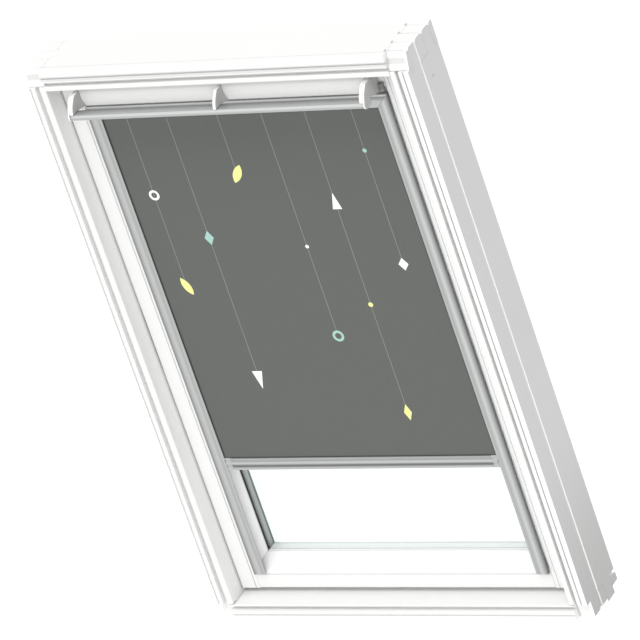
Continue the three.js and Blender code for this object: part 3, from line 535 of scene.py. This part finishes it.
# Pieces with finishes of their own, most with painted light or shade in them
ownFinishes = {
    # painted crevice shade, stronger on the frame's right side than on the left
    "frame_side_right": coatedTimber("rightSideTimber", 2, creviceShadeShare=0.8),
    # painted shade bands across the head's front
    "frame_head": coatedTimber("headTimber", 0, [("Z", [
        (1134, "soft"), (1138, "plain"), (1154, "plain"), (1157, "soft"), (1165.5, "soft"),
        (1167, "plain"),
    ])]),
    # no painted crevice shade on these two
    "sash_bottom_rail": coatedTimber("bottomRailTimber", 0, creviceShadeShare=0.0),
    "sash_stile_right": coatedTimber("rightStileTimber", 2, creviceShadeShare=0.0),
    # painted shade towards the flap's lower and upper edges and on its flanks
    "flap_shell": mouldedPlastic("flapPlastic", "white", [("Z", [
        (1090, "soft"), (1108, "plain"), (1122, "plain"), (1126, "soft"),
    ])], 0.52),
    "blind_side_rail_left": anodised("leftRailAluminium", 2, channelShadeLines),
    "blind_side_rail_right": anodised("rightRailAluminium", 2, channelShadeLines),
    # painted shade and highlight bands along these profiles
    "bottom_bar": anodised("bottomBarAluminium", 0, [("Z", [
        (309, "plain"), (312.5, "deepShade"), (315, "deepShade"), (320.5, "highlight"), (323.6, "soft"),
        (328.5, "plain"), (330.8, "deepShade"),
    ])]),
    "blind_casing": anodised("casingAluminium", 0, [("Z", [
        (1070, "plain"), (1074, "deepShade"), (1077.5, "plain"), (1080, "highlight"),
    ])]),
    "control_bar": anodised("controlBarAluminium", 0, [
        ("Z", [(1093.5, "soft"), (1097.5, "highlight"), (1099.5, "plain")]),
        ("Y", [(-78, "highlight"), (-70, "soft"), (-65, "deepShade")]),
    ]),
    # painted light: the bottom spacer is a lit copy, twice as bright, almost matt and without
    # crevice shade
    "glass_spacer_bottom": anodised("litBottomSpacer", 0, [], 0.05, 0.0, 2.0),
    "glass_spacer_left": anodised("leftSpacer", 2, spacerShadeLines),
    "glass_spacer_right": anodised("rightSpacer", 2, spacerShadeLines),
    "glazing_gasket_bottom": paleRubber,
    # painted light on the cover's faces that look up
    "outer_cover_bottom": powderCoat("bottomCover", True),
}
ownFinishes.update({name: shadedArmPlastic for name in (
    "control_arm_left", "control_arm_middle", "control_arm_right",
    "control_bar_cap_left", "control_bar_cap_right",
)})
ownFinishes.update({"flap_hinge_left": shadedLugSteel, "flap_hinge_right": shadedLugSteel})
ownFinishes.update({name: paleRubber for name in nodes if "_seal" in name})

for part in frame["record"]["subparts"]:
    name = part["node"]
    if part["material_slot"] in finishes:
        chosen = ownFinishes.get(name) or finishes[part["material_slot"]][longestAxis(name)]
        nodes[name].data.materials.clear()
        nodes[name].data.materials.append(chosen)
print("finishes on the solids")


cloth = {
    "strips": 5,
    "columns": 48,
    "rowsInStrip": 12,
    "threadPitch": 0.00052,
    "body": fromScreen(98, 100, 97),
    "shade": fromScreen(93, 95, 92),
    "backCoat": fromScreen(206, 208, 205),
    "stringInk": fromScreen(134, 137, 131),
    "stringHalf": 0.0006,
    "sideRim": (0.2785, 0.2822),  # from the middle, where the channels' shade fades in
    "footRim": 0.0035,
    "yellowInk": fromScreen(226, 229, 150),
    "whiteInk": fromScreen(243, 244, 240),
    "mintInk": fromScreen(160, 196, 187),
}

# The printed strings: where each hangs across the cloth, how low it ends, and what it carries.
# Each shape is (kind, height, half width, half height, turn in degrees, ink)
strings = [
    {"across": -0.232, "end": 0.706, "shapes": [
        ("ring", 0.892, 0.0105, 0.0105, 0, "whiteInk"),
        ("leaf", 0.700, 0.0080, 0.0200, 24, "yellowInk"),
    ]},
    {"across": -0.150, "end": 0.505, "shapes": [
        ("diamond", 0.800, 0.0095, 0.0150, 0, "mintInk"),
        ("pennant", 0.498, 0.0105, 0.0190, 180, "whiteInk"),
    ]},
    {"across": -0.046, "end": 0.936, "shapes": [
        ("leaf", 0.930, 0.0085, 0.0210, -30, "yellowInk"),
    ]},
    {"across": 0.044, "end": 0.596, "shapes": [
        ("dot", 0.776, 0.0036, 0.0036, 0, "whiteInk"),
        ("ring", 0.588, 0.0115, 0.0115, 0, "mintInk"),
    ]},
    {"across": 0.132, "end": 0.430, "shapes": [
        ("pennant", 0.868, 0.0095, 0.0170, 0, "whiteInk"),
        ("dot", 0.652, 0.0048, 0.0048, 0, "yellowInk"),
        ("diamond", 0.424, 0.0080, 0.0175, 0, "yellowInk"),
    ]},
    {"across": 0.226, "end": 0.742, "shapes": [
        ("dot", 0.968, 0.0042, 0.0042, 0, "mintInk"),
        ("diamond", 0.734, 0.0100, 0.0130, 0, "whiteInk"),
    ]},
]


# Where a printed shape covers the cloth; right and up run from its middle
def inkedBy(kind, right, up, halfWide, halfTall):
    if kind == "diamond":
        return (abs(right) / halfWide + abs(up) / halfTall).below(1.0)
    if kind == "pennant":
        slope = abs(right) / halfWide + (up / halfTall + 1) * 0.5
        return slope.atLeast(0 - up / halfTall).below(1.0)
    if kind == "leaf":
        reach = (halfWide ** 2 + halfTall ** 2) / (2 * halfWide)
        edge = abs(right) + (reach - halfWide)
        return (edge * edge + up * up).root().below(reach)
    radius = (right * right + up * up).root()
    if kind == "ring":
        return abs(radius - halfWide * 0.78).below(halfWide * 0.22)
    return radius.below(halfWide)


def printedCloth(name, width, low, high):
    material, bench = newMaterial(name)
    spread = bench.add("ShaderNodeUVMap", {"uv_map": "clothMap"})
    across, height, _ = bench.axes(spread)
    across, height = (across - 0.5) * width, height * (high - low) + low
    turns = 2 * math.pi / cloth["threadPitch"]
    warp, weft = (across * turns).sine(), (height * turns).sine()
    weave = warp * weft
    slub = bench.noise(bench.vector("MULTIPLY", spread, (900.0, 30.0, 1.0)), 1.0, 3.0)
    soft = bench.noise(spread, 5.0, 2.0)
    colour = bench.mix(slub.between(0.35, 0.75) * 0.5 + weave * 0.22 + 0.1,
                       cloth["body"], cloth["shade"])
    for string in strings:
        line = abs(across - string["across"]).below(cloth["stringHalf"])
        colour = bench.mix(line * height.above(string["end"]), colour, cloth["stringInk"])
        for kind, middle, halfWide, halfTall, turn, ink in string["shapes"]:
            right, up = across - string["across"], height - middle
            if turn:
                cosine, sine = math.cos(math.radians(turn)), math.sin(math.radians(turn))
                right, up = right * cosine + up * sine, up * cosine - right * sine
            colour = bench.mix(inkedBy(kind, right, up, halfWide, halfTall), colour, cloth[ink])
    # the shade under the channels and above the bar
    rim = abs(across).between(*cloth["sideRim"])
    rim = rim.atLeast(1 - height.between(low, low + cloth["footRim"]))
    colour = bench.mix(rim * 0.55, colour, grey(0.01))
    normal = bench.bump(weave + slub * 0.5, 0.00004)
    normal = bench.bump(soft, 0.0008, normal, 0.35)
    surface(bench, {"Base Color": colour, "Roughness": 0.8 + slub * 0.12, "Normal": normal},
            {"Sheen Weight": 0.04, "Sheen Roughness": 0.4, "Specular IOR Level": 0.12})
    return material


def coatedBack(name, width, low, high):
    material, bench = newMaterial(name)
    spread = bench.add("ShaderNodeUVMap", {"uv_map": "clothMap"})
    across, height, _ = bench.axes(spread)
    turns = 2 * math.pi / cloth["threadPitch"]
    weave = (across * (width * turns)).sine() * (height * ((high - low) * turns)).sine()
    streak = bench.noise(bench.vector("MULTIPLY", spread, (60.0, 4.0, 1.0)), 1.0, 4.0)
    dull = scaled(cloth["backCoat"], 0.9)
    colour = bench.mix(streak.between(0.4, 0.8) * 0.6, cloth["backCoat"], dull)
    surface(bench, {"Base Color": colour, "Roughness": 0.5 + streak * 0.2,
                    "Normal": bench.bump(weave, 0.00003)})
    return material


# Puts a mesh, light or camera into the scene as an object
def addObject(name, data):
    holder = bpy.data.objects.new(name, data)
    bpy.context.scene.collection.objects.link(holder)
    return holder


# The hanging cloth, in strips that each cover a share of its length
def makeCloth():
    low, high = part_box("blind_fabric")
    width = high.x - low.x
    top, bottom = high.z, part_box("bottom_bar")[1].z
    front = printedCloth("blackoutCloth", width, bottom, top)
    back = coatedBack("blackoutBacking", width, bottom, top)
    length = top - bottom
    for k in range(cloth["strips"]):
        shares = [k / cloth["strips"], (k + 1) / cloth["strips"]]
        heights = [top - length * share for share in shares]
        shape = bmesh.new()
        layer = shape.loops.layers.uv.new("clothMap")
        rows = [heights[0] + (heights[1] - heights[0]) * i / cloth["rowsInStrip"]
                for i in range(cloth["rowsInStrip"] + 1)]
        columns = [low.x + width * i / cloth["columns"] for i in range(cloth["columns"] + 1)]
        faceGrid = [[[shape.verts.new((x, y, z)) for x in columns] for z in rows]
                    for y in (low.y, high.y)]

        def addFace(corners, slotIndex):
            face = shape.faces.new(corners)
            face.material_index = slotIndex
            for loop in face.loops:
                point = loop.vert.co
                loop[layer].uv = ((point.x - low.x) / width, (point.z - bottom) / length)

        lastRow, lastColumn = len(rows) - 1, len(columns) - 1
        for r in range(lastRow):
            for c in range(lastColumn):
                for side, grid in enumerate(faceGrid):
                    corners = [grid[r][c], grid[r + 1][c], grid[r + 1][c + 1], grid[r][c + 1]]
                    addFace(corners if side == 0 else corners[::-1], side)
        near, far = faceGrid
        for r in range(lastRow):
            addFace([near[r][0], far[r][0], far[r + 1][0], near[r + 1][0]], 0)
            addFace([near[r][-1], near[r + 1][-1], far[r + 1][-1], far[r][-1]], 0)
        for c in range(lastColumn):
            addFace([near[0][c], near[0][c + 1], far[0][c + 1], far[0][c]], 0)
            addFace([near[-1][c], far[-1][c], far[-1][c + 1], near[-1][c + 1]], 0)
        mesh = bpy.data.meshes.new("cloth_strip_%d" % (k + 1))
        shape.to_mesh(mesh)
        shape.free()
        strip = addObject(mesh.name, mesh)
        mesh.materials.append(front)
        mesh.materials.append(back)
        # the ends of a smooth step that matches this strip's share are worked out
        steps = [0.5 - math.sin(math.asin(1 - 2 * share) / 3) for share in shares]
        reach = (heights[1] - heights[0]) / (steps[1] - steps[0])
        start = heights[0] - steps[0] * reach
        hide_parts("blind_fabric")
        start + reach
        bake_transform(strip)
        length / cloth["strips"]


socketKinds = {
    "geometry": "NodeSocketGeometry",
    "number": "NodeSocketFloat",
    "count": "NodeSocketInt",
    "material": "NodeSocketMaterial",
}


# A geometry tree with named inputs; returns the tree, its bench and the inputs by name
def newShapeTree(name, inputs):
    tree = bpy.data.node_groups.new(name, "GeometryNodeTree")
    for label, kind in {"Geometry": "geometry", **inputs, "Finish": "material"}.items():
        tree.interface.new_socket(name=label, in_out="INPUT", socket_type=socketKinds[kind])
    tree.interface.new_socket(name="Geometry", in_out="OUTPUT", socket_type="NodeSocketGeometry")
    bench = Bench(tree)
    first = bench.add("NodeGroupInput")
    sockets = first.socket.node.outputs
    return tree, bench, {socket.name: Value(bench, socket) for socket in sockets if socket.name}


def closeShapeTree(bench, shape, finish):
    whole = bench.add("GeometryNodeRealizeInstances", inputs={0: shape})
    painted = bench.add("GeometryNodeSetMaterial", inputs={"Geometry": whole, "Material": finish})
    bench.add("NodeGroupOutput", inputs={0: painted})


# Runs a tree on a mesh and gives back a plain mesh object
def grow(name, mesh, tree, values):
    carrier = addObject(name + "Carrier", mesh)
    modifier = carrier.modifiers.new("shape", "NODES")
    modifier.node_group = tree
    for item in tree.interface.items_tree:
        if item.in_out == "INPUT" and item.name in values:
            modifier[item.identifier] = values[item.name]
    depsgraph = bpy.context.evaluated_depsgraph_get()
    made = bpy.data.meshes.new_from_object(carrier.evaluated_get(depsgraph))
    carrier.modifiers.remove(modifier)
    bpy.data.objects.remove(carrier)
    made.name = name
    return addObject(name, made)


# Points that carry the way they face and their size
def spotMesh(name, spots):
    mesh = bpy.data.meshes.new(name)
    mesh.from_pydata([spot[0] for spot in spots], [], [])
    facing = mesh.attributes.new("facing", "FLOAT_VECTOR", "POINT")
    facing.data.foreach_set("vector", [part for spot in spots for part in spot[1]])
    size = mesh.attributes.new("sizeShare", "FLOAT", "POINT")
    size.data.foreach_set("value", [spot[2] for spot in spots])
    return mesh


screw = {
    "Head Radius": 0.0038,
    "Head Height": 0.0009,
    "Recess Length": 0.0046,
    "Recess Width": 0.0010,
    "Sides": 20,
    "Seed": 7,
}


# Cross-recess screw heads, one on each point
def screwTree():
    inputs = {"Head Radius": "number", "Head Height": "number", "Recess Length": "number",
              "Recess Width": "number", "Sides": "count", "Seed": "count"}
    tree, bench, given = newShapeTree("screwHeads", inputs)
    radius, height = given["Head Radius"], given["Head Height"]
    cut = bench.add("GeometryNodeMeshCone", {"fill_type": "NGON"}, {
        "Vertices": given["Sides"],
        "Radius Top": radius * 0.78,
        "Radius Bottom": radius,
        "Depth": height,
    })
    lift = bench.add("ShaderNodeCombineXYZ", inputs={"Z": height * 1.1})
    for long, short in ((0, 1), (1, 0)):
        size = bench.add("ShaderNodeCombineXYZ", inputs={
            "XYZ"[long]: given["Recess Length"], "XYZ"[short]: given["Recess Width"], "Z": height,
        })
        slot = bench.add("GeometryNodeMeshCube", inputs={"Size": size})
        slot = bench.add("GeometryNodeTransform", inputs={"Geometry": slot, "Translation": lift})
        cut = bench.add("GeometryNodeMeshBoolean", {"operation": "DIFFERENCE"},
                        {"Mesh 1": cut, "Mesh 2": slot})
    facing, share = (
        bench.add("GeometryNodeInputNamedAttribute", {"data_type": kind}, {"Name": label})
        for kind, label in (("FLOAT_VECTOR", "facing"), ("FLOAT", "sizeShare")))
    upright = bench.add("FunctionNodeAlignRotationToVector", {"axis": "Z"}, {"Vector": facing})
    angle = bench.add("FunctionNodeRandomValue", {"data_type": "FLOAT"},
                      {2: 0.0, 3: math.pi, "Seed": given["Seed"]}, 1)
    spin = bench.add("FunctionNodeAxisAngleToRotation", inputs={"Axis": (0, 0, 1), "Angle": angle})
    turned = bench.add("FunctionNodeRotateRotation", {"rotation_space": "LOCAL"},
                       {"Rotation": upright, "Rotate By": spin})
    placed = bench.add("GeometryNodeInstanceOnPoints", inputs={
        "Points": given["Geometry"], "Instance": cut, "Rotation": turned, "Scale": share,
    })
    closeShapeTree(bench, placed, given["Finish"])
    return tree


plateFace = 0.3494  # from the middle, the pivot plates' inner faces


# Screw places as (point, facing, size), read off the solids that they hold
def screwSpots():
    spots = {"frame": [], "sash": []}
    for side in (-1, 1):
        word = "right" if side > 0 else "left"
        low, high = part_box("frame_side_" + word)
        outer = high.x if side > 0 else low.x
        for y, z, size in ((0.0122, 1.0942, 0.7), (0.0051, 1.139, 0.35), (0.0117, 0.077, 0.7)):
            spots["frame"].append(((outer, y, z), (side, 0, 0), size))
        low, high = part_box("pivot_frame_plate_" + word)
        for share in (0.14, 0.86):
            z = low.z + (high.z - low.z) * share
            spots["frame"].append(((plateFace * side, 0.015, z), (-side, 0, 0), 0.8))
        low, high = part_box("outer_cover_" + word)
        for share in (0.06, 0.35, 0.65, 0.94):
            z = low.z + (high.z - low.z) * share
            spots["sash"].append((((low.x + high.x) / 2, high.y, z), (0, 1, 0), 0.9))
    for level in ("bottom", "top"):
        low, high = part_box("outer_cover_" + level)
        for share in (0.2, 0.5, 0.8):
            x = low.x + (high.x - low.x) * share
            spots["sash"].append(((x, high.y, (low.z + high.z) / 2), (0, 1, 0), 0.9))
    return spots


def makeScrews():
    tree = screwTree()
    for body, spots in screwSpots().items():
        piece = grow("screws_" + body, spotMesh("spots_" + body, spots), tree,
                     {**screw, "Finish": finishes["steel"][0]})
        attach(piece, body)
        print("screws on", body, len(spots))


roll = {
    "Turns": 5.0,
    "Cloth Thickness": 0.0004,
    "Pitch": 0.00043,
    "Steps": 36,
    "clearance": 0.0002,
}


# Cloth wound on the tube: a flat band swept along a spiral
def rollTree():
    inputs = {"Turns": "number", "Inner Radius": "number", "Outer Radius": "number",
              "Cloth Width": "number", "Cloth Thickness": "number", "Steps": "count"}
    tree, bench, given = newShapeTree("woundCloth", inputs)
    path = bench.add("GeometryNodeCurveSpiral", inputs={
        "Resolution": given["Steps"], "Rotations": given["Turns"],
        "Start Radius": given["Inner Radius"], "End Radius": given["Outer Radius"], "Height": 0.0,
    })
    steady = bench.add("GeometryNodeSetCurveNormal", {"mode": "Z_UP"}, {"Curve": path})
    band = bench.add("GeometryNodeCurvePrimitiveQuadrilateral", inputs={
        "Width": given["Cloth Thickness"], "Height": given["Cloth Width"],
    })
    swept = bench.add("GeometryNodeCurveToMesh", inputs={
        "Curve": steady, "Profile Curve": band, "Fill Caps": True,
    })
    flat = bench.add("GeometryNodeSetShadeSmooth",
                     inputs={"Geometry": swept, "Shade Smooth": False})
    closeShapeTree(bench, flat, given["Finish"])
    return tree


def makeRoll():
    low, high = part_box("fabric_roll")
    axisY, axisZ = (low.y + high.y) / 2, (low.z + high.z) / 2
    # the last turn clears the channels' mouths, as the solid does
    outer = (high.y - low.y - roll["Cloth Thickness"]) / 2 - roll["clearance"]
    piece = grow("wound_cloth", bpy.data.meshes.new("rollStart"), rollTree(), {
        "Turns": roll["Turns"],
        "Inner Radius": outer - roll["Turns"] * roll["Pitch"],
        "Outer Radius": outer,
        "Cloth Width": high.x - low.x,
        "Cloth Thickness": roll["Cloth Thickness"],
        "Steps": roll["Steps"],
        "Finish": bpy.data.materials["blackoutBacking"],
    })
    # the spiral's own x, y and z turn to the front, down and across the window
    piece.data.transform(Matrix(((0, 0, 1, 0), (-1, 0, 0, axisY), (0, -1, 0, axisZ), (0, 0, 0, 1))))
    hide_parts("fabric_roll")
    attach(piece, "roller")


pleats = {"Pleats": 64, "Paper Thickness": 0.0006, "Rim": 0.003}


# The vent filter: a pleated sheet in a rim
def filterTree():
    inputs = {"Pleats": "count", "Half Width": "number", "Depth": "number", "Height": "number",
              "Paper Thickness": "number", "Rim": "number"}
    tree, bench, given = newShapeTree("pleatedFilter", inputs)
    half, depth, height, rim = given["Half Width"], given["Depth"], given["Height"], given["Rim"]
    start = bench.add("ShaderNodeCombineXYZ", inputs={"X": 0 - half + rim * 0.5})
    end = bench.add("ShaderNodeCombineXYZ", inputs={"X": half - rim * 0.5})
    line = bench.add("GeometryNodeCurvePrimitiveLine", inputs={"Start": start, "End": end})
    line = bench.add("GeometryNodeResampleCurve",
                     inputs={"Curve": line, "Count": given["Pleats"] * 2 + 1})
    index = bench.add("GeometryNodeInputIndex")
    sway = (index % 2 - 0.5) * (depth - given["Paper Thickness"] * 2)
    offset = bench.add("ShaderNodeCombineXYZ", inputs={"Y": sway})
    zigzag = bench.add("GeometryNodeSetPosition", inputs={"Geometry": line, "Offset": offset})
    steady = bench.add("GeometryNodeSetCurveNormal", {"mode": "Z_UP"}, {"Curve": zigzag})
    band = bench.add("GeometryNodeCurvePrimitiveQuadrilateral", inputs={
        "Width": given["Paper Thickness"], "Height": height - rim,
    })
    paper = bench.add("GeometryNodeCurveToMesh", inputs={
        "Curve": steady, "Profile Curve": band, "Fill Caps": True,
    })
    bars = []
    for sign in (-1, 1):
        for size, shift in (
            ({"X": half * 2, "Y": depth, "Z": rim}, {"Z": (height - rim) * 0.5 * sign}),
            ({"X": rim, "Y": depth, "Z": height - rim * 2}, {"X": (half - rim * 0.5) * sign}),
        ):
            cube = bench.add("GeometryNodeMeshCube", inputs={
                "Size": bench.add("ShaderNodeCombineXYZ", inputs=size),
            })
            bars.append(bench.add("GeometryNodeTransform", inputs={
                "Geometry": cube, "Translation": bench.add("ShaderNodeCombineXYZ", inputs=shift),
            }))
    joined = bench.add("GeometryNodeJoinGeometry")
    for piece in (paper, *bars):
        bench.tree.links.new(piece.socket, joined.socket.node.inputs[0])
    flat = bench.add("GeometryNodeSetShadeSmooth",
                     inputs={"Geometry": joined, "Shade Smooth": False})
    closeShapeTree(bench, flat, given["Finish"])
    return tree


def makeFilter():
    low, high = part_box("vent_filter")
    middle = (low + high) / 2
    piece = grow("pleated_filter", bpy.data.meshes.new("filterStart"), filterTree(), {
        "Pleats": pleats["Pleats"],
        "Half Width": (high.x - low.x) / 2,
        "Depth": high.y - low.y,
        "Height": high.z - low.z,
        "Paper Thickness": pleats["Paper Thickness"],
        "Rim": pleats["Rim"],
        "Finish": finishes["filter_felt"][0],
    })
    piece.data.transform(Matrix.Translation(middle))
    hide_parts("vent_filter")
    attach(piece, "sash")


makeCloth()
print("cloth hung in", cloth["strips"], "strips")
makeRoll()
makeFilter()
makeScrews()
print("roll, filter and screws made")


def makeFloor():
    material, bench = newMaterial("paleFloor")
    wash = bench.noise(bench.place(), 0.6, 2.0)
    level = studio["floorGrey"]
    surface(bench, {"Base Color": bench.mix(wash * 0.3, grey(level), grey(level - 0.01)),
                    "Roughness": 0.9 + wash * 0.05})
    half = studio["floorSize"] / 2
    mesh = bpy.data.meshes.new("floor")
    height = studio["floorHeight"]
    mesh.from_pydata([(-half, -half, height), (half, -half, height), (half, half, height),
                      (-half, half, height)], [], [(0, 1, 2, 3)])
    mesh.materials.append(material)
    addObject("floor", mesh)


def makeLights():
    world = bpy.data.worlds.new("paleRoom")
    bpy.context.scene.world = world
    world.use_nodes = True
    sky = world.node_tree.nodes["Background"]
    sky.inputs["Color"].default_value = grey(studio["skyGrey"])
    sky.inputs["Strength"].default_value = studio["skyStrength"]
    key = bpy.data.lights.new("key", "SUN")
    key.energy = studio["keyStrength"]
    key.angle = math.radians(studio["keySpread"])
    lamp = addObject("key", key)
    lamp.rotation_mode = "QUATERNION"
    lamp.rotation_quaternion = Vector(studio["keyTowards"]).to_track_quat("Z", "Y")
    fill = bpy.data.lights.new("fill", "AREA")
    fill.energy = studio["fillPower"]
    fill.size = studio["fillSize"]
    soft = addObject("fill", fill)
    soft.location = studio["fillPlace"]
    soft.visible_camera = False
    soft.rotation_mode = "QUATERNION"
    towards = Vector(studio["fillPlace"]) - Vector(studio["fillAim"])
    soft.rotation_quaternion = towards.to_track_quat("Z", "Y")


def makeCamera():
    camera = bpy.data.cameras.new("photoCamera")
    camera.lens = photoView["lens"]
    camera.sensor_width = photoView["sensor"]
    camera.clip_end = 100
    holder = addObject("photoCamera", camera)
    turned = Matrix([photoView[key] for key in ("right", "up", "back")]).transposed().to_4x4()
    holder.matrix_world = Matrix.Translation(photoView["place"]) @ turned
    bpy.context.scene.camera = holder


makeFloor()
makeLights()
makeCamera()
bpy.context.scene.view_settings.view_transform = "Standard"
print("studio set")
